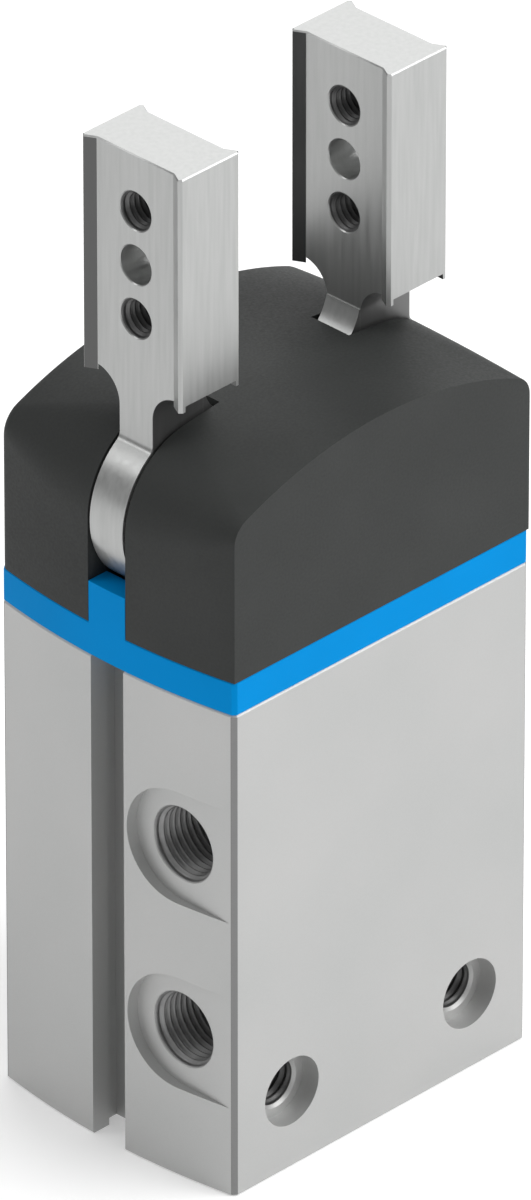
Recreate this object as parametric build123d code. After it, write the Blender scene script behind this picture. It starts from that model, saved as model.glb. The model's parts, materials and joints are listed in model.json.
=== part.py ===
from build123d import *
import math
import os

# Pneumatic 180 degree radial gripper with two jaws, in millimetres, shown closed.
# +Z is up, X runs from jaw to jaw, -Y is the front with the mounting holes and
# -X is the end with the air ports. The origin is the centre of the bottom face.

# ---- outside of the body ----
half_w = 24.5            # X, at the corners
half_d = 19.0            # Y
end_bulge = 1.8          # how far the middle of an end stands out past its corners
edge_break = 0.45        # vertical corner edges
rim_break = 0.2          # horizontal edges of the housing and the ring
housing_h = 65.7
ring_h = 4.5
ring_top = housing_h + ring_h
tab_top = ring_top + 5.5
tab_half_y = 2.95
tab_inner_x = 21.6

# ---- cap: a shoulder at each end and a shallow arch between them ----
roof_top = 96.0
corner_level = 88.5      # where a corner stops being vertical
corner_shoulder_r = 3.0
roof_edge_r = 1.3        # front and back edges of the roof

# ---- jaw pivots and lever discs ----
pivot_x = 15.1
pivot_z = 83.9
disc_r = half_w + end_bulge - pivot_x
disc_half_y = 2.65
slot_half_y = 3.05
slot_inner_x = 10.7      # inner end of the slot in the roof
disc_gap = 0.35          # between a disc and what surrounds its rim

# ---- jaw ----
flat_in_x = 13.0         # inner flat of the neck and the block
flat_out_x = 21.3        # outer flat
block_half_y = 8.0
block_bottom = 101.4
jaw_top = 131.4
flare_r = 4.0
lip_h = 0.8              # the lips stand this far above the flats
lip_foot_y = 6.1
lip_tip_y = 7.6
lip_bottom = 100.65      # the lips hang a little below the block
jaw_break = 0.15
clear_x = 40.0           # cutting blocks reach past the jaw to here
clear_y = 9.0
neck_outer_fillet = 1.2
neck_inner_fillet = 6.3
jaw_hole_spacing = 7.1
dowel_hole_z = 116.9
dowel_hole_r = 2.5
m5_hole_r = 2.5          # M5 thread at its nominal size
hole_break = 0.12

# ---- lever slot and crosshead ----
lever_arm = 5.8          # the pin's line is this far inside the pivot; the stroke is twice this
cross_pin_r = 1.5
cross_pin_half_y = 7.0
lever_slot_half = 2.1
lever_slot_near = 6.25   # centres of the slot's round ends, from the pivot
lever_slot_far = 7.75
yoke_in_y = 3.15
yoke_out_y = 7.2
yoke_r = 2.6
web_half_x = 3.4
web_bottom = 66.5
pin_line_x = pivot_x - lever_arm
pin_line_z = pivot_z - lever_arm

# ---- pivots ----
pivot_pin_r = 2.5
pivot_pin_half_y = 9.2
bush_outer_r = 3.1
running_gap = 0.03

# ---- bearing block and the cavity around it ----
base_half_x = 20.2
base_half_y = 11.2
cavity_half_x = base_half_x + 0.3
cavity_half_y = base_half_y + 0.3
ear_in_x = 12.25
ear_out_x = 19.4
ear_in_y = 3.05
ear_top = 88.1
cavity_top = 89.3
yoke_cavity_x = 12.2
yoke_cavity_y = 7.6
yoke_cavity_top = 92.9
base_window_x = 3.8
base_window_y = 7.7
base_window_r = 5.5

# ---- cylinder ----
bore_r = 12.5
bore_top = 46.8
spigot_r = 2.0           # threaded end of the rod, screwed into the crosshead
spigot_h = 8.0
rod_screw_tip = 42.0
rod_r = 5.0
rod_hole_r = 5.3
gland_r = 8.0
gland_bottom = 55.7
bush_top = 61.7
seal_top = 65.3
piston_bottom = 21.8
piston_h = 9.2
piston_top = piston_bottom + piston_h
piston_r = 12.44
groove_r = 10.6
groove_h = 2.0
land_h = 0.7
end_land_h = 0.9
seal_r = bore_r - running_gap
magnet_r = 12.3
bumper_in_r = 6.5
bumper_out_r = 9.0
bumper_h = 3.0
end_cap_bottom = 9.5
end_cap_top = 18.0
end_cap_r = 12.45
oring_major_r = 11.45
oring_minor_r = 1.0
oring_z = 13.7
snap_bottom = 8.1
snap_top = 9.4
snap_out_r = 13.25
snap_in_r = 11.3
snap_groove_r = 13.3

# ---- ports, mounting holes, sensor slots, screws ----
port_y = -10.7
port_z = (19.65, 45.05)
port_face_x = -half_w - 0.15   # the spot face runs out just short of the front corner
port_face_r = 7.6
port_r = 4.85                 # G1/8 thread at its nominal size
port_mouth_r = 4.95
port_depth = 8.3
passage_r = 1.5
passage_end_x = -5.5
mount_x = 15.0
mount_z = 10.4
mount_recess_r = 4.5
mount_recess_depth = 2.6
mount_break = 0.35        # bevel at the mouth of the M6 hole
mount_r = 3.0             # M6 thread at its nominal size
mount_depth = 11.0
sensor_mouth_half = 2.65
sensor_mouth_depth = 2.7
sensor_half = 3.7
sensor_depth = 5.0
cover_screw_x = 8.2
cover_screw_y = 15.2
cover_screw_tip = 79.5
base_screw_x = 9.0
base_screw_y = 7.8
base_screw_tip = 58.0
m3_r = 1.48
m3_hole_r = 1.5
m3_clear_r = 1.7
m3_head_r = 2.75
m3_head_h = 3.0
m3_seat_r = 2.9
m3_seat_depth = 3.2
m5_r = 2.48
m5_head_r = 4.25
m5_head_h = 4.8


# ---- shared helpers ----
def rod_x(radius, x0, x1, y, z):
    return Pos((x0 + x1) / 2, y, z) * Rot(0, 90, 0) * Cylinder(radius, x1 - x0)


def rod_y(radius, y0, y1, x, z):
    return Pos(x, (y0 + y1) / 2, z) * Rot(90, 0, 0) * Cylinder(radius, y1 - y0)


def rod_z(radius, z0, z1, x=0.0, y=0.0):
    return Pos(x, y, (z0 + z1) / 2) * Cylinder(radius, z1 - z0)


def block(x0, x1, y0, y1, z0, z1):
    return Pos((x0 + x1) / 2, (y0 + y1) / 2, (z0 + z1) / 2) * Box(x1 - x0, y1 - y0, z1 - z0)


def tube_z(outer, inner, z0, z1):
    return rod_z(outer, z0, z1) - rod_z(inner, z0 - 1, z1 + 1)


def four_places(x, y):
    return [(sx * x, sy * y) for sx in (-1, 1) for sy in (-1, 1)]


def body_prism(z0, z1):
    """Solid with the body's plan outline: flat front and back, convex ends."""
    front = Line((-half_w, -half_d), (half_w, -half_d))
    right = ThreePointArc((half_w, -half_d), (half_w + end_bulge, 0), (half_w, half_d))
    back = Line((half_w, half_d), (-half_w, half_d))
    left = ThreePointArc((-half_w, half_d), (-half_w - end_bulge, 0), (-half_w, -half_d))
    prism = extrude(Pos(0, 0, z0) * make_face([front, right, back, left]), z1 - z0)
    return chamfer(prism.edges().filter_by(Axis.Z), edge_break)


def rounded_block(hx, hy, z0, z1, corner_r):
    return extrude(Pos(0, 0, z0) * RectangleRounded(2 * hx, 2 * hy, corner_r), z1 - z0)


def cap_screw(x, y, tip_z, seat_z, radius, head_r, head_h):
    """Socket head screw along Z; the head lies on the far side of its seat from the tip."""
    away = 1 if seat_z > tip_z else -1
    head_far = seat_z + away * head_h
    shank = rod_z(radius, min(tip_z, seat_z), max(tip_z, seat_z), x, y)
    head = rod_z(head_r, min(seat_z, head_far), max(seat_z, head_far), x, y)
    socket_depth = 0.55 * head_h
    socket_z = head_far - away * socket_depth
    hexagon = Pos(x, y, min(head_far, socket_z)) * RegularPolygon(0.5 * head_r, 6)
    return shank + head - extrude(hexagon, socket_depth)


# ---- housing ----
def sensor_slot(side):
    """Stepped groove along Z in the middle of an end: a narrow mouth and a wider room."""
    face_x = side * (half_w + end_bulge)
    step_x = face_x - side * sensor_mouth_depth
    floor_x = face_x - side * sensor_depth
    out_x = face_x + side
    mouth_x = sorted((step_x, out_x))
    room_x = sorted((step_x, floor_x))
    mouth = block(*mouth_x, -sensor_mouth_half, sensor_mouth_half, -1, housing_h + 1)
    room = block(*room_x, -sensor_half, sensor_half, -1, housing_h + 1)
    return mouth + room


def air_port(z):
    """Spot face open to the front corner, threaded hole with a bevelled mouth, passage to the bore."""
    inner_x = port_face_x + port_depth
    outside_x = -half_w - end_bulge - 1
    face = rod_x(port_face_r, outside_x, port_face_x, port_y, z)
    face += block(outside_x, port_face_x, -half_d - 1, port_y, z - port_face_r, z + port_face_r)
    thread = rod_x(port_r, port_face_x - 0.01, inner_x, port_y, z)
    bevel_h = port_mouth_r - port_r
    mouth = Pos(port_face_x + bevel_h / 2, port_y, z) * Rot(0, 90, 0) * Cone(port_mouth_r, port_r, bevel_h)
    passage = rod_x(passage_r, inner_x - 0.01, passage_end_x, port_y, z)
    return face + thread + mouth + passage


def mounting_hole(x, side):
    """Centring recess and M6 hole in the front (side -1) or the back (side 1)."""
    face_y = side * half_d
    recess_y = face_y - side * mount_recess_depth
    end_y = face_y - side * mount_depth
    recess = rod_y(mount_recess_r, *sorted((face_y + side, recess_y)), x, mount_z)
    hole = rod_y(mount_r, *sorted((recess_y, end_y)), x, mount_z)
    mouth_r = mount_r + mount_break
    bevel_y = recess_y - side * mount_break / 2
    bevel = Pos(x, bevel_y, mount_z) * Rot(side * 90, 0, 0) * Cone(mouth_r, mount_r, mount_break)
    return recess + hole + bevel


def make_housing():
    body = body_prism(0, housing_h)
    body = chamfer(body.faces().sort_by(Axis.Z)[0].edges(), rim_break)
    body = chamfer(body.faces().sort_by(Axis.Z)[-1].edges(), rim_break)
    body -= rod_z(bore_r, -1, bore_top)
    body -= rod_z(rod_hole_r, bore_top - 1, gland_bottom + 1)
    body -= rod_z(gland_r, gland_bottom, housing_h + 1)
    body -= rod_z(snap_groove_r, snap_bottom - 0.1, end_cap_bottom)
    for side in (-1, 1):
        body -= sensor_slot(side)
        for x in (-mount_x, mount_x):
            body -= mounting_hole(x, side)
    for z in port_z:
        body -= air_port(z)
    for x, y in four_places(cover_screw_x, cover_screw_y):
        body -= rod_z(m3_clear_r, -1, housing_h + 1, x, y)
        body -= rod_z(m3_seat_r, -1, m3_seat_depth, x, y)
    for x, y in four_places(base_screw_x, base_screw_y):
        body -= rod_z(m3_hole_r, base_screw_tip - 1, housing_h + 1, x, y)
    return body


# ---- ring and cap ----
def make_intermediate_ring():
    ring = body_prism(housing_h, ring_top)
    ring = chamfer(ring.faces().sort_by(Axis.Z)[0].edges(), rim_break)
    ring = chamfer(ring.faces().sort_by(Axis.Z)[-1].edges(), rim_break)
    ring -= rounded_block(cavity_half_x, cavity_half_y, housing_h - 1, ring_top + 1, 2)
    for x, y in four_places(cover_screw_x, cover_screw_y):
        ring -= rod_z(m3_clear_r, housing_h - 1, ring_top + 1, x, y)
    tabs = body_prism(housing_h + 1, tab_top)
    tabs &= block(-30, 30, -tab_half_y, tab_half_y, housing_h + 1, tab_top)
    tabs -= block(-tab_inner_x, tab_inner_x, -5, 5, housing_h, tab_top + 1)
    ring += tabs
    for side in (-1, 1):
        ring -= rod_y(disc_r + disc_gap, -5, 5, side * pivot_x, pivot_z)
    return ring


def end_x(y):
    """Distance of an end face from the middle plane, on the end's arc."""
    radius = (half_d ** 2 + end_bulge ** 2) / (2 * end_bulge)
    return half_w + end_bulge - radius + math.sqrt(radius ** 2 - y ** 2)


def cap_section(y):
    """Outline of the cap across Y: the shoulders get rounder towards the middle."""
    share = (y / half_d) ** 2
    shoulder_r = disc_r + (corner_shoulder_r - disc_r) * share
    level = pivot_z + (corner_level - pivot_z) * share
    side_x = end_x(y)
    centre_x = side_x - shoulder_r
    rise = roof_top - level
    arch_r = (centre_x ** 2 + rise ** 2 - shoulder_r ** 2) / (2 * (rise - shoulder_r))
    arch_z = roof_top - arch_r
    lean = math.atan2(centre_x, level - arch_z)
    joint = (arch_r * math.sin(lean), arch_z + arch_r * math.cos(lean))
    half_lean = (lean + math.pi / 2) / 2
    shoulder = (centre_x + shoulder_r * math.sin(half_lean), level + shoulder_r * math.cos(half_lean))
    plane = Plane(origin=(0, y, 0), x_dir=(1, 0, 0), z_dir=(0, -1, 0))
    base = Line((-side_x, ring_top), (side_x, ring_top))
    right = Line((side_x, ring_top), (side_x, level))
    right_shoulder = ThreePointArc((side_x, level), shoulder, joint)
    arch = ThreePointArc(joint, (0, roof_top), (-joint[0], joint[1]))
    left_shoulder = ThreePointArc((-joint[0], joint[1]), (-shoulder[0], shoulder[1]), (-side_x, level))
    left = Line((-side_x, level), (-side_x, ring_top))
    return plane * make_face([base, right, right_shoulder, arch, left_shoulder, left])


def cap_shell():
    stations = (-1.0, -0.8, -0.5, -0.2, 0.2, 0.5, 0.8, 1.0)
    shell = loft([cap_section(half_d * s) for s in stations])
    for face in (shell.faces().sort_by(Axis.Y)[0], shell.faces().sort_by(Axis.Y)[-1]):
        rim = [e for e in face.edges() if e.center().Z > ring_top + 0.1]
        shell = fillet(rim, roof_edge_r)
    return shell


def make_cover_cap():
    cap = cap_shell()
    cap -= rounded_block(cavity_half_x, cavity_half_y, ring_top - 1, cavity_top, 2)
    yoke_top = (cavity_top - 1, yoke_cavity_top)
    cap -= block(-yoke_cavity_x, yoke_cavity_x, -yoke_cavity_y, yoke_cavity_y, *yoke_top)
    for side in (-1, 1):
        slot_x = sorted((side * slot_inner_x, side * (half_w + end_bulge + 2)))
        cap -= block(*slot_x, -slot_half_y, slot_half_y, ring_top - 1, roof_top + 1)
        cap -= rod_y(disc_r + disc_gap, -slot_half_y, slot_half_y, side * pivot_x, pivot_z)
    for x, y in four_places(cover_screw_x, cover_screw_y):
        cap -= rod_z(m3_hole_r, ring_top - 1, cover_screw_tip + 0.5, x, y)
    return cap


# ---- bearing block ----
def make_bearing_block():
    base = rounded_block(base_half_x, base_half_y, housing_h, ring_top, 2)
    base -= block(-base_window_x, base_window_x, -base_window_y, base_window_y, housing_h - 1, ring_top + 1)
    base -= rod_z(base_window_r, housing_h - 1, ring_top + 1)
    for x, y in four_places(base_screw_x, base_screw_y):
        base -= rod_z(m3_clear_r, housing_h - 1, ring_top + 1, x, y)
        base -= rod_z(m3_seat_r, ring_top - m3_seat_depth, ring_top + 1, x, y)
    ear_mid_x = (ear_in_x + ear_out_x) / 2
    ear_top_r = (ear_out_x - ear_in_x) / 2
    for sx in (-1, 1):
        for sy in (-1, 1):
            y0, y1 = sorted((sy * ear_in_y, sy * pivot_pin_half_y))
            x0, x1 = sorted((sx * ear_in_x, sx * ear_out_x))
            base += block(x0, x1, y0, y1, ring_top - 1, ear_top - ear_top_r)
            base += rod_y(ear_top_r, y0, y1, sx * ear_mid_x, ear_top - ear_top_r)
        base -= rod_y(pivot_pin_r, -pivot_pin_half_y - 1, pivot_pin_half_y + 1, sx * pivot_x, pivot_z)
    return base


def make_pivot_pin(side):
    pin = rod_y(pivot_pin_r, -pivot_pin_half_y, pivot_pin_half_y, side * pivot_x, pivot_z)
    return chamfer(pin.edges().filter_by(GeomType.CIRCLE), 0.3)


def make_pivot_bush(side):
    bush = rod_y(bush_outer_r, -disc_half_y, disc_half_y, side * pivot_x, pivot_z)
    hole_half = disc_half_y + 1
    return bush - rod_y(pivot_pin_r + running_gap, -hole_half, hole_half, side * pivot_x, pivot_z)


# ---- jaws, drawn for the right side ----
def jaw_profile():
    """Side view of a jaw: the lever disc and the neck that runs up into the block."""
    disc = Pos(pivot_x, pivot_z) * Circle(disc_r)
    neck_mid_x = (flat_in_x + flat_out_x) / 2
    neck = Pos(neck_mid_x, (pivot_z + jaw_top) / 2) * Rectangle(flat_out_x - flat_in_x, jaw_top - pivot_z)
    profile = disc + neck
    above = [v for v in profile.vertices() if pivot_z + 5 < v.Y < block_bottom]
    inner, outer = sorted(above, key=lambda v: v.X)
    profile = fillet(inner, neck_inner_fillet)
    outer_now = min(profile.vertices(), key=lambda v: abs(v.X - outer.X) + abs(v.Y - outer.Y))
    return fillet(outer_now, neck_outer_fillet)


def lip_points(flat_x, out):
    """Outline of a lip in plan, from its foot on the flat to the corner of the block."""
    lip_x = flat_x + out * lip_h
    bevel = block_half_y - lip_tip_y
    return [(flat_x, lip_foot_y), (lip_x, lip_tip_y), (lip_x - out * bevel, block_half_y)]


def block_section():
    """Plan of the jaw block: both X faces are shallow channels between raised lips."""
    upper = lip_points(flat_out_x, 1) + lip_points(flat_in_x, -1)[::-1]
    lower = [(x, -y) for x, y in reversed(upper)]
    return make_face(Polyline(*upper, *lower, close=True))


def lip_ends():
    """The lower ends of the four lips, which hang below the block."""
    ends = []
    for flat_x, out in ((flat_out_x, 1), (flat_in_x, -1)):
        outline = lip_points(flat_x, out) + [(flat_x, block_half_y)]
        for side in (-1, 1):
            face = make_face(Polyline(*[(x, side * y) for x, y in outline], close=True))
            height = block_bottom + 0.5 - lip_bottom
            ends.append(extrude(Pos(0, 0, lip_bottom) * face, height, dir=(0, 0, 1)))
    return ends


def jaw_hole(radius, z):
    """Hole through the block along X, with a small bevel at both flats."""
    hole = rod_x(radius, flat_in_x - 2, flat_out_x + 2, 0, z)
    wide = radius + hole_break
    hole += Pos(flat_out_x - hole_break / 2, 0, z) * Rot(0, 90, 0) * Cone(radius, wide, hole_break)
    hole += Pos(flat_in_x + hole_break / 2, 0, z) * Rot(0, 90, 0) * Cone(wide, radius, hole_break)
    return hole


def lever_slot():
    """Radial slot in the disc, pointing inward and down while the jaws are closed."""
    length = lever_slot_far - lever_slot_near
    middle = (lever_slot_far + lever_slot_near) / 2
    shape = Rot(0, 0, 225) * Pos(middle, 0) * SlotCenterToCenter(length, 2 * lever_slot_half)
    plane = Plane(origin=(pivot_x, disc_half_y + 1, pivot_z), x_dir=(1, 0, 0), z_dir=(0, -1, 0))
    return extrude(plane * shape, 2 * disc_half_y + 2)


def make_right_jaw():
    side_plane = Plane(origin=(0, block_half_y, 0), x_dir=(1, 0, 0), z_dir=(0, -1, 0))
    jaw = extrude(side_plane * jaw_profile(), 2 * block_half_y)
    flare_z = block_bottom - flare_r
    prism = extrude(Pos(0, 0, flare_z) * block_section(), jaw_top - flare_z)
    jaw = (jaw & block(0, clear_x, -clear_y, clear_y, 0, flare_z + 0.5)) + prism
    jaw = chamfer(jaw.faces().sort_by(Axis.Z)[-1].edges(), jaw_break)
    for side in (-1, 1):
        flare_y = side * (disc_half_y + flare_r)
        jaw -= block(0, clear_x, *sorted((side * disc_half_y, side * clear_y)), 0, flare_z)
        jaw -= block(0, clear_x, *sorted((flare_y, side * clear_y)), flare_z - 1, block_bottom)
        jaw -= rod_x(flare_r, 5, 35, flare_y, flare_z)
    for end in lip_ends():
        jaw += end
    jaw -= rod_y(bush_outer_r, -5, 5, pivot_x, pivot_z)
    jaw -= lever_slot()
    jaw -= jaw_hole(dowel_hole_r, dowel_hole_z)
    jaw -= jaw_hole(m5_hole_r, dowel_hole_z + jaw_hole_spacing)
    jaw -= jaw_hole(m5_hole_r, dowel_hole_z - jaw_hole_spacing)
    return jaw


# ---- piston, rod and crosshead, at the bottom of the stroke ----
def make_crosshead():
    """Web between the discs and two plates beside them, with bores for the cross pins."""
    z0 = pin_line_z - yoke_r
    z1 = pin_line_z + yoke_r
    yoke = block(-web_half_x, web_half_x, -yoke_out_y, yoke_out_y, web_bottom, z1)
    for side in (-1, 1):
        y0, y1 = sorted((side * yoke_in_y, side * yoke_out_y))
        yoke += block(-pin_line_x, pin_line_x, y0, y1, z0, z1)
        for x in (-pin_line_x, pin_line_x):
            yoke += rod_y(yoke_r, y0, y1, x, pin_line_z)
    for x in (-pin_line_x, pin_line_x):
        yoke -= rod_y(cross_pin_r, -yoke_out_y - 1, yoke_out_y + 1, x, pin_line_z)
    return yoke - rod_z(spigot_r, web_bottom - 1, web_bottom + spigot_h)


def make_crosshead_pins():
    places = (-pin_line_x, pin_line_x)
    pins = [rod_y(cross_pin_r, -cross_pin_half_y, cross_pin_half_y, x, pin_line_z) for x in places]
    return Compound([pin.solid() for pin in pins])


def make_piston_rod():
    rod = rod_z(rod_r, piston_top, web_bottom)
    rod = chamfer(rod.edges().sort_by(Axis.Z)[-1], 0.5)
    rod += rod_z(spigot_r, web_bottom - 1, web_bottom + spigot_h - 0.5)
    return rod - rod_z(m5_r + 0.02, piston_top - 1, rod_screw_tip + 1)


def groove_starts():
    """Bottom of the lower seal, magnet and upper seal grooves in the piston."""
    first = piston_bottom + end_land_h
    return [first + i * (groove_h + land_h) for i in range(3)]


def make_piston():
    piston = rod_z(piston_r, piston_bottom, piston_top)
    piston = chamfer(piston.edges(), 0.3)
    for z in groove_starts():
        piston -= tube_z(bore_r + 1, groove_r, z, z + groove_h)
    piston -= rod_z(m5_r + 0.02, piston_bottom - 1, piston_top + 1)
    return piston - rod_z(m5_head_r + 0.1, piston_bottom - 1, piston_bottom + m5_head_h + 0.2)


def make_piston_ring(index, outer_r):
    z = groove_starts()[index]
    return tube_z(outer_r, groove_r, z, z + groove_h)


def make_piston_seal(index):
    """Lip seal: a ring with a groove in the side that faces the air."""
    seal = make_piston_ring(index, seal_r)
    z = groove_starts()[index] + (0 if index == 0 else groove_h)
    middle_r = (seal_r + groove_r) / 2
    return seal - tube_z(middle_r + 0.3, middle_r - 0.3, z - 0.8, z + 0.8)


def make_piston_screw():
    seat = piston_bottom + m5_head_h + 0.2
    return cap_screw(0, 0, rod_screw_tip, seat, m5_r, m5_head_r, m5_head_h)


# ---- fixed pieces of the cylinder ----
def make_end_cap():
    cap = rod_z(end_cap_r, end_cap_bottom, end_cap_top)
    cap = chamfer(cap.edges(), 0.4)
    groove_floor_r = oring_major_r - oring_minor_r
    cap -= tube_z(bore_r + 1, groove_floor_r, oring_z - oring_minor_r, oring_z + oring_minor_r)
    return cap - rod_z(m3_hole_r, end_cap_bottom - 1, end_cap_bottom + 5)


def make_oring():
    return Pos(0, 0, oring_z) * Torus(oring_major_r, oring_minor_r)


def make_retaining_ring():
    """Internal snap ring: open at the back, with an eye at each end."""
    ring = tube_z(snap_out_r, snap_in_r, snap_bottom, snap_top)
    ring -= block(-2, 2, 0, 20, snap_bottom - 1, snap_top + 1)
    for x in (-3.2, 3.2):
        ring += rod_z(1.6, snap_bottom, snap_top, x, snap_in_r - 0.9)
        ring -= rod_z(0.8, snap_bottom - 1, snap_top + 1, x, snap_in_r - 0.9)
    return ring


def make_rod_seal():
    seal = tube_z(gland_r, rod_r + running_gap, bush_top, seal_top)
    middle_r = (gland_r + rod_r) / 2
    return seal - tube_z(middle_r + 0.4, middle_r - 0.4, bush_top - 1, bush_top + 1.2)


def make_base_screws():
    seat = ring_top - m3_seat_depth
    places = four_places(base_screw_x, base_screw_y)
    screws = [cap_screw(x, y, base_screw_tip, seat, m3_r, m3_head_r, m3_head_h) for x, y in places]
    return Compound([s.solid() for s in screws])


def make_cover_screws():
    places = four_places(cover_screw_x, cover_screw_y)
    screws = [cap_screw(x, y, cover_screw_tip, m3_seat_depth, m3_r, m3_head_r, m3_head_h) for x, y in places]
    return Compound([s.solid() for s in screws])


def main():
    right_jaw = make_right_jaw()
    nodes = {
        "housing": make_housing(),
        "intermediate_ring": make_intermediate_ring(),
        "cover_cap": make_cover_cap(),
        "bearing_block": make_bearing_block(),
        "left_pivot_pin": make_pivot_pin(-1),
        "right_pivot_pin": make_pivot_pin(1),
        "left_pivot_bush": make_pivot_bush(-1),
        "right_pivot_bush": make_pivot_bush(1),
        "left_jaw": mirror(right_jaw, Plane.YZ),
        "right_jaw": right_jaw,
        "crosshead": make_crosshead(),
        "crosshead_pins": make_crosshead_pins(),
        "piston_rod": make_piston_rod(),
        "piston": make_piston(),
        "lower_piston_seal": make_piston_seal(0),
        "piston_magnet": make_piston_ring(1, magnet_r),
        "upper_piston_seal": make_piston_seal(2),
        "piston_screw": make_piston_screw(),
        "lower_bumper": tube_z(bumper_out_r, bumper_in_r, end_cap_top, end_cap_top + bumper_h),
        "upper_bumper": tube_z(bumper_out_r, bumper_in_r, bore_top - bumper_h, bore_top),
        "rod_guide_bush": tube_z(gland_r, rod_r + running_gap, gland_bottom, bush_top),
        "rod_seal": make_rod_seal(),
        "end_cap": make_end_cap(),
        "end_cap_oring": make_oring(),
        "end_cap_retaining_ring": make_retaining_ring(),
        "bearing_block_screws": make_base_screws(),
        "cover_screws": make_cover_screws(),
    }
    os.makedirs("parts", exist_ok=True)
    for name, shape in nodes.items():
        export_step(shape, f"parts/{name}.step")


main()
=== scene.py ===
import json
import math
import bmesh
import bpy
from mathutils import Matrix, Vector


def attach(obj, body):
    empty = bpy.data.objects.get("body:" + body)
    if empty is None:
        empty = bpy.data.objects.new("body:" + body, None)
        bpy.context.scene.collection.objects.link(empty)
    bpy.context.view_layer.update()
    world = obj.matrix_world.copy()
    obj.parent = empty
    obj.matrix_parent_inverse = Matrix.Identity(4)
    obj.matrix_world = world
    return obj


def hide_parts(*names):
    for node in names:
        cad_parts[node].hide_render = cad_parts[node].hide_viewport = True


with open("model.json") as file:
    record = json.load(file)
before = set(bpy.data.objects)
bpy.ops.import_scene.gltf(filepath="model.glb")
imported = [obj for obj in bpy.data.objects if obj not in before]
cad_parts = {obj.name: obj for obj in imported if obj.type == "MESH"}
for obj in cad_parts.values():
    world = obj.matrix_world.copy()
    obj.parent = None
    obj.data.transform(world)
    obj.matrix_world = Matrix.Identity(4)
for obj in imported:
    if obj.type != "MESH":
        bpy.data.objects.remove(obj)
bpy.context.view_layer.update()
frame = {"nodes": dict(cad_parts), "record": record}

# The pneumatic gripper's looks: materials, smooth skins of the five outside parts, threads in the
# holes, floor, lights and camera. Metres, in the frame of the CAD model.

MM = 0.001
NODES = frame["nodes"]
RECORD = frame["record"]
SLOT_OF = {part["node"]: part["material_slot"] for part in RECORD["subparts"]}
BODY_OF = {node: body for body, members in RECORD["behaviour"]["bodies"].items() for node in members}

# The camera's direction and distance, seen from a point near the middle of the object's height.
CAMERA_AZIMUTH = -45.63
CAMERA_ELEVATION = 30.98
CAMERA_DISTANCE = 2.2172
CAMERA_AIM = (0.0, 0.0, 0.06303)
CAMERA_LENS = 570.0

# |x| + |y| on the broken vertical corners of the body, a little inside them, beyond which a painted dark reflection is laid.
PAINTED_REFLECTION_CORNER_SUM = 43.03 * MM

# The jaw block, in distances from the middle planes. The flats in X lie between the first two values, and
# the lips stand out beyond them. The insides of the lips slope between the two values in Y and get a
# painted dark reflection.
FLAT_IN_X = 12.97 * MM
FLAT_OUT_X = 21.33 * MM
LIP_FOOT_Y = 6.12 * MM
LIP_TIP_Y = 7.58 * MM
LIP_BOTTOM_Z = 100.6 * MM
LIP_TOP_Z = 131.2 * MM

# The sides of the waist under the block and of the neck inwards of it, which get painted shade. Both
# ranges in X stop just short of the planes of the flats, which are left bright.
WAIST_SIDE_Y = 2.64 * MM
WAIST_IN_X = 13.01 * MM
WAIST_OUT_X = 21.2 * MM
WAIST_TOP_Z = 101.38 * MM
NECK_IN_X = 4.0 * MM
NECK_OUT_X = 12.99 * MM
WAIST_BOTTOM_Z = 90.0 * MM

# How far the painted dark reflection on the lips and the painted shade on the waist take the ground colour
# toward the dark one, from 0 to 1.
LIP_PAINTED_REFLECTION = 0.2
BACK_LIP_PAINTED_REFLECTION = 0.7      # added to the other, on the lips at positive Y
WAIST_PAINTED_SHADE = 0.75

# Noise stretches: the same all ways, and long in Z.
EVEN = (1, 1, 1)
UPRIGHT = (1, 1, 0.06)

# The middle of a noise texture's range, over which colour and roughness change.
NOISE_LOW = 0.3
NOISE_HIGH = 0.7

# Two faces meet in a crisp edge from this angle on.
CRISP_ANGLE = math.radians(22)
WELD_DISTANCE = 1e-7
SKINNED_NODES = ("housing", "intermediate_ring", "cover_cap", "left_jaw", "right_jaw")

# Threads by the radius of their hole in mm: pitch and depth, in mm.
THREADS = {4.85: (0.907, 0.58), 3.0: (1.0, 0.6), 2.5: (0.8, 0.5)}
JAW_HOLE_LENGTH = 8.0 * MM
SLEEVE_SIDES = 48
SLEEVE_ROWS_PER_TURN = 8
SLEEVE_INSET = 0.05 * MM     # from the hole's wall to the thread's root
SLEEVE_WALL = 0.04 * MM
RIDGE_HALF_WIDTH = 0.44      # of the pitch
RIDGE_LAST_HEIGHT = 0.2      # of the thread's depth, at the far end

FLOOR_HALF_SIZE = 6.0
FLOOR_DROP = 0.05 * MM


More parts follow.
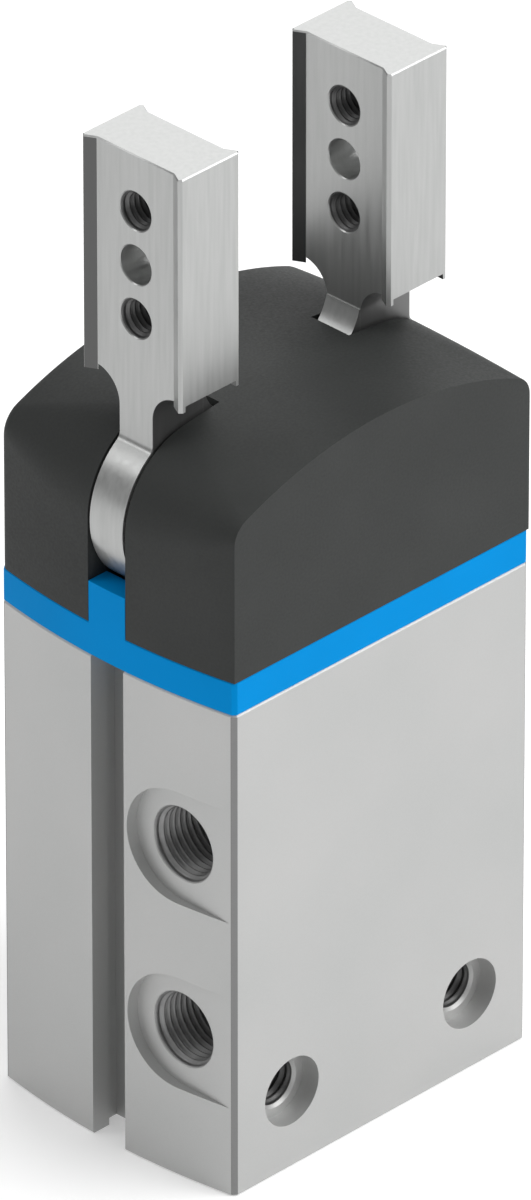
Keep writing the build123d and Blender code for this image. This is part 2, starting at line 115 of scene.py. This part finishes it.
# ---- node graph helpers ----
class Shade:
    """A Principled material under construction, with short names for its usual nodes."""

    def __init__(self, name, metallic, roughness, specular=0.5):
        self.material = bpy.data.materials.new(name)
        self.material.use_nodes = True
        self.tree = self.material.node_tree
        self.tree.nodes.clear()
        self.shader = self.add("ShaderNodeBsdfPrincipled")
        self.shader.inputs["Metallic"].default_value = metallic
        self.shader.inputs["Roughness"].default_value = roughness
        self.shader.inputs["Specular IOR Level"].default_value = specular
        output = self.add("ShaderNodeOutputMaterial")
        self.link(self.shader.outputs["BSDF"], output.inputs["Surface"])
        self.place = self.add("ShaderNodeTexCoord").outputs["Object"]

    def add(self, kind, **settings):
        node = self.tree.nodes.new(kind)
        for key, value in settings.items():
            setattr(node, key, value)
        return node

    def link(self, source, target):
        self.tree.links.new(source, target)

    def noise(self, scale, detail, stretch=EVEN):
        mapping = self.add("ShaderNodeMapping")
        mapping.inputs["Scale"].default_value = stretch
        self.link(self.place, mapping.inputs["Vector"])
        node = self.add("ShaderNodeTexNoise")
        node.inputs["Scale"].default_value = scale
        node.inputs["Detail"].default_value = detail
        self.link(mapping.outputs["Vector"], node.inputs["Vector"])
        return node.outputs["Fac"]

    def colour(self, noise, dark, light):
        """Base colour from dark to light with the noise."""
        ramp = self.add("ShaderNodeValToRGB")
        for stop, position, tone in zip(ramp.color_ramp.elements, (NOISE_LOW, NOISE_HIGH), (dark, light)):
            stop.position = position
            stop.color = (*tone, 1)
        self.link(noise, ramp.inputs["Fac"])
        self.link(ramp.outputs["Color"], self.shader.inputs["Base Color"])
        return ramp.outputs["Color"]

    def roughness(self, noise, low, high):
        """Roughness from low to high with the noise."""
        node = self.add("ShaderNodeMapRange")
        node.inputs["From Min"].default_value = NOISE_LOW
        node.inputs["From Max"].default_value = NOISE_HIGH
        node.inputs["To Min"].default_value = low
        node.inputs["To Max"].default_value = high
        self.link(noise, node.inputs["Value"])
        self.link(node.outputs["Result"], self.shader.inputs["Roughness"])

    def bump(self, noise, strength, depth):
        node = self.add("ShaderNodeBump")
        node.inputs["Strength"].default_value = strength
        node.inputs["Distance"].default_value = depth
        self.link(noise, node.inputs["Height"])
        self.link(node.outputs["Normal"], self.shader.inputs["Normal"])

    def value(self, operation, first, second=None):
        """The result of a maths node on sockets or plain numbers."""
        node = self.add("ShaderNodeMath", operation=operation)
        for socket, given in zip(node.inputs, (first, second)):
            if isinstance(given, (int, float)):
                socket.default_value = given
            elif given is not None:
                self.link(given, socket)
        return node.outputs["Value"]

    def product(self, first, *others):
        for other in others:
            first = self.value("MULTIPLY", first, other)
        return first

    def between(self, source, low, high):
        """One where the value lies from low to high, else zero."""
        above = self.value("GREATER_THAN", source, low)
        return self.product(above, self.value("LESS_THAN", source, high))

    def position(self):
        """The place at rest, which moves with the piece, as |x|, |y|, y and z."""
        axes = self.add("ShaderNodeSeparateXYZ")
        self.link(self.place, axes.inputs["Vector"])
        across = self.value("ABSOLUTE", axes.outputs["X"])
        aside = self.value("ABSOLUTE", axes.outputs["Y"])
        return across, aside, axes.outputs["Y"], axes.outputs["Z"]

    def overlay(self, colour, grey, mask):
        """Base colour that goes from the given colour to a grey as the mask goes from 0 to 1."""
        mix = self.add("ShaderNodeMix", data_type="RGBA")
        self.link(mask, mix.inputs["Factor"])
        self.link(colour, mix.inputs["A"])
        mix.inputs["B"].default_value = (grey, grey, grey, 1)
        self.link(mix.outputs["Result"], self.shader.inputs["Base Color"])


# ---- materials ----
def anodised_aluminium(name, dark, light, roughness, painted_reflection_corner_sum=None):
    """Bead-blasted and anodised: a fine even grain, very slight clouding and, when a corner sum is given,
    a painted dark reflection on the corner breaks.
    """
    shade = Shade(name, metallic=0.55, roughness=roughness)
    blasted = shade.colour(shade.noise(scale=45, detail=2), dark, light)
    grain = shade.noise(scale=5200, detail=2)
    shade.roughness(grain, roughness - 0.05, roughness + 0.05)
    shade.bump(grain, strength=0.25, depth=0.012 * MM)
    if painted_reflection_corner_sum:
        across, aside, _, _ = shade.position()
        reach = shade.value("ADD", across, aside)
        # Painted dark reflection: beyond the corner sum the broken vertical corners go to a grey of 0.22.
        shade.overlay(blasted, 0.22, shade.value("GREATER_THAN", reach, painted_reflection_corner_sum))
    return shade.material


def blue_coating(name):
    """A nearly matt blue coat with a very fine grain."""
    shade = Shade(name, metallic=0.0, roughness=0.45, specular=0.02)
    shade.colour(shade.noise(scale=60, detail=2), (0.0, 0.235, 0.6), (0.0, 0.255, 0.65))
    grain = shade.noise(scale=3800, detail=2)
    shade.roughness(grain, 0.38, 0.48)
    shade.bump(grain, strength=0.2, depth=0.01 * MM)
    return shade.material


def moulded_cap(name):
    """Dark moulded plastic with a fine spark-eroded texture."""
    shade = Shade(name, metallic=0.0, roughness=0.65, specular=0.2)
    shade.colour(shade.noise(scale=70, detail=3), (0.031, 0.033, 0.032), (0.037, 0.039, 0.038))
    grain = shade.noise(scale=3000, detail=4)
    shade.roughness(grain, 0.52, 0.68)
    shade.bump(grain, strength=0.35, depth=0.02 * MM)
    return shade.material


def ground_steel(name, dark, light, roughness, along=EVEN):
    """Metal with fine grinding marks; along is the stretch of the marks in X, Y and Z."""
    shade = Shade(name, metallic=0.9, roughness=roughness)
    marks = shade.noise(scale=2600, detail=3, stretch=along)
    shade.colour(marks, dark, light)
    shade.roughness(marks, roughness - 0.07, roughness + 0.07)
    shade.bump(marks, strength=0.3, depth=0.01 * MM)
    return shade.material


def jaw_steel(name):
    """Upright ground steel, with a painted dark reflection on the sloping insides of the lips and painted
    shade on the waist and neck.
    """
    shade = Shade(name, metallic=0.72, roughness=0.33)
    lines = shade.noise(scale=1500, detail=2, stretch=UPRIGHT)
    ground = shade.colour(lines, (0.385, 0.39, 0.385), (0.44, 0.445, 0.44))
    shade.roughness(lines, 0.29, 0.38)
    shade.bump(lines, strength=0.08, depth=0.006 * MM)

    across, aside, y, z = shade.position()
    off_flats = shade.value("SUBTRACT", 1.0, shade.between(across, FLAT_IN_X, FLAT_OUT_X))
    lips = shade.product(shade.between(aside, LIP_FOOT_Y, LIP_TIP_Y), off_flats,
                         shade.between(z, LIP_BOTTOM_Z, LIP_TOP_Z))
    back_lips = shade.product(lips, shade.value("GREATER_THAN", y, 0.0))
    painted_lip_reflection = shade.value("ADD", shade.product(lips, LIP_PAINTED_REFLECTION),
                            shade.product(back_lips, BACK_LIP_PAINTED_REFLECTION))

    behind_flats = shade.value("ADD", shade.between(across, WAIST_IN_X, WAIST_OUT_X),
                               shade.between(across, NECK_IN_X, NECK_OUT_X))
    waist = shade.product(shade.between(z, WAIST_BOTTOM_Z, WAIST_TOP_Z), behind_flats,
                          shade.between(aside, WAIST_SIDE_Y, LIP_FOOT_Y))
    painted_waist_shade = shade.product(waist, WAIST_PAINTED_SHADE)
    # Painted dark reflection on the insides of the lips and painted shade on the waist and neck, toward a
    # grey of 0.07.
    shade.overlay(ground, 0.07, shade.value("MAXIMUM", painted_lip_reflection, painted_waist_shade))
    return shade.material


def rubber(name, tone, roughness=0.7):
    """Dull and slightly mottled, for rubber and for the bonded magnet."""
    shade = Shade(name, metallic=0.0, roughness=roughness, specular=0.3)
    dark = tuple(0.8 * part for part in tone)
    light = tuple(1.2 * part for part in tone)
    shade.colour(shade.noise(scale=300, detail=3), dark, light)
    shade.bump(shade.noise(scale=2500, detail=3), strength=0.3, depth=0.02 * MM)
    return shade.material


def cut_thread(name, dark, light):
    """Cut metal below the finished surface, in a dark tone that is painted shade deep in the hole."""
    shade = Shade(name, metallic=0.6, roughness=0.45)
    shade.colour(shade.noise(scale=900, detail=3), dark, light)
    shade.bump(shade.noise(scale=4000, detail=2), strength=0.2, depth=0.01 * MM)
    return shade.material


# The record's material slots: name, kind of material and its settings.
MATERIALS = {name: make(name, *settings) for name, make, *settings in (
    ("anodised_body", anodised_aluminium, (0.46, 0.465, 0.46), (0.49, 0.49, 0.485), 0.5, PAINTED_REFLECTION_CORNER_SUM),
    ("end_cap_aluminium", anodised_aluminium, (0.42, 0.42, 0.42), (0.48, 0.48, 0.48), 0.45),
    ("blue_ring", blue_coating),
    ("dark_cap", moulded_cap),
    ("jaw_steel", jaw_steel),
    ("machined_steel", ground_steel, (0.4, 0.4, 0.4), (0.5, 0.5, 0.5), 0.4),
    ("ground_steel", ground_steel, (0.5, 0.5, 0.5), (0.58, 0.58, 0.58), 0.25),
    ("bronze", ground_steel, (0.42, 0.26, 0.11), (0.5, 0.32, 0.14), 0.4),
    ("chrome_rod", ground_steel, (0.72, 0.72, 0.73), (0.78, 0.78, 0.79), 0.12, UPRIGHT),
    ("piston_aluminium", ground_steel, (0.55, 0.55, 0.55), (0.62, 0.62, 0.62), 0.35),
    ("screw_steel", ground_steel, (0.05, 0.05, 0.055), (0.09, 0.09, 0.095), 0.42),
    ("spring_steel", ground_steel, (0.07, 0.065, 0.06), (0.12, 0.11, 0.1), 0.4),
    ("seal_rubber", rubber, (0.02, 0.02, 0.02)),
    ("bumper_rubber", rubber, (0.1, 0.06, 0.035)),
    ("magnet", rubber, (0.05, 0.045, 0.045), 0.5),
)}

# The cut metal of the threads, by the radius of their hole in mm; each tone is painted shade for the depth
# of that hole.
THREAD_MATERIALS = {
    4.85: cut_thread("port_thread", (0.24, 0.24, 0.24), (0.3, 0.3, 0.3)),
    3.0: cut_thread("mounting_thread", (0.09, 0.09, 0.09), (0.12, 0.12, 0.12)),
    2.5: cut_thread("jaw_thread", (0.11, 0.11, 0.11), (0.15, 0.15, 0.15)),
}


# ---- pieces ----
def new_piece(name, mesh_data, node, material):
    """A visible piece with the given material, on the body of a CAD node."""
    mesh_data.materials.append(material)
    piece = bpy.data.objects.new(name, mesh_data)
    bpy.context.scene.collection.objects.link(piece)
    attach(piece, BODY_OF[node])
    return piece


def smooth_skin(node):
    """The node's own shape as one welded mesh, shaded smooth over its curves and crisp at its edges."""
    mesh = bmesh.new()
    mesh.from_mesh(NODES[node].data)
    bmesh.ops.remove_doubles(mesh, verts=mesh.verts, dist=WELD_DISTANCE)
    for face in mesh.faces:
        face.smooth = True
    for edge in mesh.edges:
        edge.smooth = len(edge.link_faces) == 2 and edge.calc_face_angle(0) < CRISP_ANGLE
    data = bpy.data.meshes.new(node + "_skin")
    mesh.to_mesh(data)
    mesh.free()
    if "custom_normal" in data.attributes:
        data.attributes.remove(data.attributes["custom_normal"])
    piece = new_piece(node + "_skin", data, node, MATERIALS[SLOT_OF[node]])
    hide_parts(node)


def thread_sleeve(name, mouth, axis, root_r, height, pitch, length):
    """Internal thread as a closed sleeve: a helical inside and a plain outside against the hole."""
    turn = Vector((0, 0, 1)).rotation_difference(axis).to_matrix().to_4x4()
    place = Matrix.Translation(mouth) @ turn
    mesh = bmesh.new()

    def ring(depth, radius_at):
        points = []
        for side in range(SLEEVE_SIDES):
            angle = 2 * math.pi * side / SLEEVE_SIDES
            r = radius_at(depth, side)
            point = place @ Vector((r * math.cos(angle), r * math.sin(angle), -depth))
            points.append(mesh.verts.new(point))
        return points

    def thread_r(depth, side):
        phase = (depth / pitch + side / SLEEVE_SIDES) % 1.0
        ridge = max(0.0, 1.0 - abs(phase - 0.5) / RIDGE_HALF_WIDTH)
        fade = min(1.0, depth / pitch, (length - depth) / pitch + RIDGE_LAST_HEIGHT)
        return root_r - height * ridge * fade

    def outer_r(depth, side):
        return root_r + SLEEVE_WALL

    rows = int(length / pitch * SLEEVE_ROWS_PER_TURN)
    rings = [ring(length * row / rows, thread_r) for row in range(rows + 1)]
    rings += [ring(length, outer_r), ring(0.0, outer_r), rings[0]]
    for first, second in zip(rings, rings[1:]):
        for side in range(SLEEVE_SIDES):
            following = (side + 1) % SLEEVE_SIDES
            mesh.faces.new((first[side], first[following], second[following], second[side]))
    bmesh.ops.recalc_face_normals(mesh, faces=mesh.faces)
    for face in mesh.faces:
        face.smooth = True
    data = bpy.data.meshes.new(name)
    mesh.to_mesh(data)
    mesh.free()
    return data


def place_thread(name, centre, axis, r_mm, length, node):
    """A thread of the given length in one of the node's holes; centre is the middle of the hole's wall."""
    pitch, height = THREADS[r_mm]
    root_r = r_mm * MM - SLEEVE_INSET
    mouth = centre + axis * length / 2
    data = thread_sleeve(name, mouth, axis, root_r, height * MM, pitch * MM, length)
    new_piece(name, data, node, THREAD_MATERIALS[r_mm])


def add_threads():
    """Threads in every threaded mount of the record: ports, mounting holes and jaw holes."""
    for mount in RECORD["mounts"]:
        axis = Vector(mount["axis"])
        centre = Vector(mount["pos_m"])
        dims = mount["dims"]
        name = mount["name"]
        if mount["kind"] == "threaded_hole":
            place_thread(name + "_thread", centre, axis, dims["r_mm"], dims["length_mm"] * MM, "housing")
        elif name.endswith("jaw_screws"):
            node = name.replace("_screws", "")
            half = dims["spacing_y_mm"] / 2 * MM
            for label, rise in (("upper", half), ("lower", -half)):
                place_thread(name + "_" + label + "_thread", centre + Vector((0, 0, rise)), axis,
                             dims["hole_r_mm"], JAW_HOLE_LENGTH, node)


for node_name, node_object in NODES.items():
    node_object.data.materials.clear()
    node_object.data.materials.append(MATERIALS[SLOT_OF[node_name]])
for node_name in SKINNED_NODES:
    smooth_skin(node_name)
add_threads()


# ---- floor, light and camera ----
def make_floor():
    """Plain pale paper that glows a little, so that it comes out almost white."""
    shade = Shade("floor_paper", metallic=0.0, roughness=0.9, specular=0.1)
    shade.colour(shade.noise(scale=20, detail=2), (0.78, 0.78, 0.78), (0.8, 0.8, 0.8))
    shade.shader.inputs["Emission Color"].default_value = (1, 1, 1, 1)
    shade.shader.inputs["Emission Strength"].default_value = 0.3
    half = FLOOR_HALF_SIZE
    corners = [(-half, -half, 0), (half, -half, 0), (half, half, 0), (-half, half, 0)]
    data = bpy.data.meshes.new("floor")
    data.from_pydata(corners, [], [(0, 1, 2, 3)])
    data.materials.append(shade.material)
    floor = bpy.data.objects.new("floor", data)
    floor.location.z = -FLOOR_DROP
    bpy.context.scene.collection.objects.link(floor)


def make_world(strength):
    world = bpy.data.worlds.new("studio")
    world.use_nodes = True
    background = world.node_tree.nodes["Background"]
    background.inputs["Color"].default_value = (1, 1, 1, 1)
    background.inputs["Strength"].default_value = strength
    bpy.context.scene.world = world


def place_towards(thing, direction, distance):
    """Puts a light or camera at a distance in a direction from the aim, turned to look at the aim."""
    thing.location = Vector(CAMERA_AIM) + direction * distance
    thing.rotation_mode = "QUATERNION"
    thing.rotation_quaternion = direction.to_track_quat("Z", "Y")
    bpy.context.scene.collection.objects.link(thing)


def make_area_light(name, toward, distance, size, power):
    """A square soft light, in the direction toward from the object."""
    data = bpy.data.lights.new(name, "AREA")
    data.size = size
    data.energy = power
    place_towards(bpy.data.objects.new(name, data), Vector(toward).normalized(), distance)


def make_camera():
    azimuth = math.radians(CAMERA_AZIMUTH)
    elevation = math.radians(CAMERA_ELEVATION)
    direction = Vector((math.sin(azimuth) * math.cos(elevation), -math.cos(azimuth) * math.cos(elevation),
                        math.sin(elevation)))
    data = bpy.data.cameras.new("camera")
    data.lens = CAMERA_LENS
    data.sensor_width = 36.0
    data.clip_start = 0.05
    data.clip_end = 50.0
    camera = bpy.data.objects.new("camera", data)
    place_towards(camera, direction, CAMERA_DISTANCE)
    bpy.context.scene.camera = camera


make_floor()
make_world(strength=0.29)
make_area_light("overhead", toward=(0.0, 0.0, 1.0), distance=2.0, size=2.5, power=16.0)
make_area_light("key", toward=(0.5, -0.75, 0.9), distance=1.6, size=1.2, power=21.5)
make_area_light("back", toward=(0.61, 0.60, 0.51), distance=2.0, size=1.4, power=11.0)
make_area_light("edge", toward=(-0.55, 0.55, 0.63), distance=1.6, size=0.5, power=2.5)
make_camera()
bpy.context.scene.view_settings.view_transform = "Standard"
